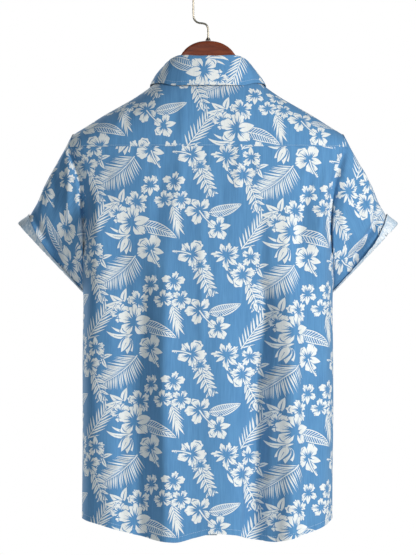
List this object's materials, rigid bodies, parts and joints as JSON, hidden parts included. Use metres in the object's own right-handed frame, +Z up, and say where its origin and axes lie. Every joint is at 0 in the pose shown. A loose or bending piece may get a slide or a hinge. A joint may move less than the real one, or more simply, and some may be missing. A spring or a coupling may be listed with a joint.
{
  "type": "hawaiian shirt on a wooden hanger",
  "caption": "Short-sleeved hawaiian shirt with turned-up cuffs, collar, yoke and curved hem, in blue cloth with white flowers and leaves, hanging on a contoured wooden hanger.",
  "frame": {"origin": "the inside top of the hanger's hook, where it hangs on a rail", "axes": "+Z up; the front of the shirt faces -Y and its back +Y; the wearer's left is +X"},
  "size_m": [0.6298, 0.2253, 0.927],
  "materials": {
    "print_cloth": "matt slubbed cotton, mid blue with a white print of flowers and leaves",
    "cloth_wrong_side": "matt wrong side of the printed cotton, pale grey blue",
    "button": "pearly",
    "wood": "varnished red brown",
    "ferrule": "dark, satin",
    "hook_wire": "warm polished steel"
  },
  "bodies": {
    "root": {"back": "print_cloth", "yoke": "print_cloth", "front_left": "print_cloth", "front_right": "print_cloth", "sleeve_left": "print_cloth", "sleeve_right": "print_cloth", "cuff_left": "cloth_wrong_side", "cuff_right": "cloth_wrong_side", "collar": "print_cloth", "button_1": "button", "button_2": "button", "button_3": "button", "button_4": "button", "button_5": "button", "button_6": "button", "button_7": "button", "hanger_wood": "wood", "hanger_ferrule": "ferrule", "hanger_hook": "hook_wire"}
  },
  "joints": []
}
